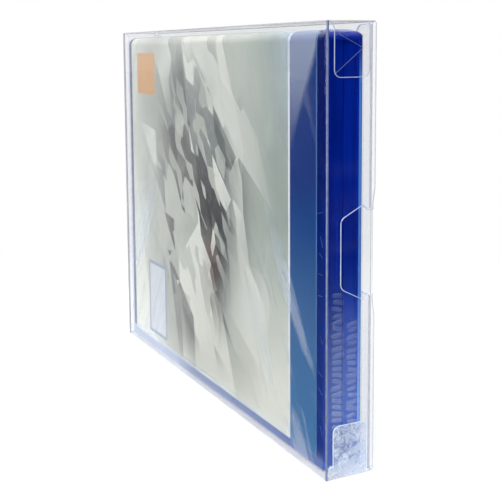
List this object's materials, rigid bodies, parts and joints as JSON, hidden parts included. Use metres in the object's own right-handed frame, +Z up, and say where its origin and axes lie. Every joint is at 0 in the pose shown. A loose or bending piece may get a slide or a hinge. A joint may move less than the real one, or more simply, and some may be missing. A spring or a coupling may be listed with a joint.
{
  "type": "clear folding box protector with a sealed game case",
  "caption": "Clear folding plastic box with creased end closures, tuck tongues and catch tabs, standing on its long edge round a sealed blue game case.",
  "frame": {"origin": "middle of the base, on the surface that the box stands on", "axes": "+X along the box to the closure end that the picture shows, +Y from the front panel to the back panel, +Z up"},
  "size_m": [0.1764, 0.0172, 0.1386],
  "materials": {
    "clear_film": "clear gloss film",
    "blue_shell": "translucent blue, satin",
    "printed_sheet": "coated print",
    "pocket_clear": "clear pocket film",
    "wrap_clear": "clear shrink film, wrinkled"
  },
  "bodies": {
    "sleeve": {"sleeve": "clear_film", "case_shell": "blue_shell", "cover_sheet": "printed_sheet", "pocket_film": "pocket_clear", "shrink_wrap": "wrap_clear"},
    "closure": {"closure_flap": "clear_film"},
    "tongue": {"tuck_tongue": "clear_film"},
    "end_closure": {"end_closure_flap": "clear_film"},
    "end_tongue": {"end_tuck_tongue": "clear_film"}
  },
  "joints": [
    {"name": "closure_crease", "type": "hinge", "parent": "sleeve", "child": "closure", "pos_m": [0.08796, -0.00836, 0.0693], "axis": [0, 0, -1], "range_deg": [0, 115]},
    {"name": "tongue_crease", "type": "hinge", "parent": "closure", "child": "tongue", "pos_m": [0.08796, 0.00701, 0.0693], "axis": [0, 0, -1], "range_deg": [-52, 0]},
    {"name": "end_closure_crease", "type": "hinge", "parent": "sleeve", "child": "end_closure", "pos_m": [-0.08796, -0.00836, 0.0693], "axis": [0, 0, 1], "range_deg": [0, 115]},
    {"name": "end_tongue_crease", "type": "hinge", "parent": "end_closure", "child": "end_tongue", "pos_m": [-0.08796, 0.00701, 0.0693], "axis": [0, 0, 1], "range_deg": [-52, 0]}
  ],
  "couplings": [
    {"joint": "tongue_crease", "follows": "closure_crease", "ratio": -0.45},
    {"joint": "end_tongue_crease", "follows": "end_closure_crease", "ratio": -0.45}
  ]
}
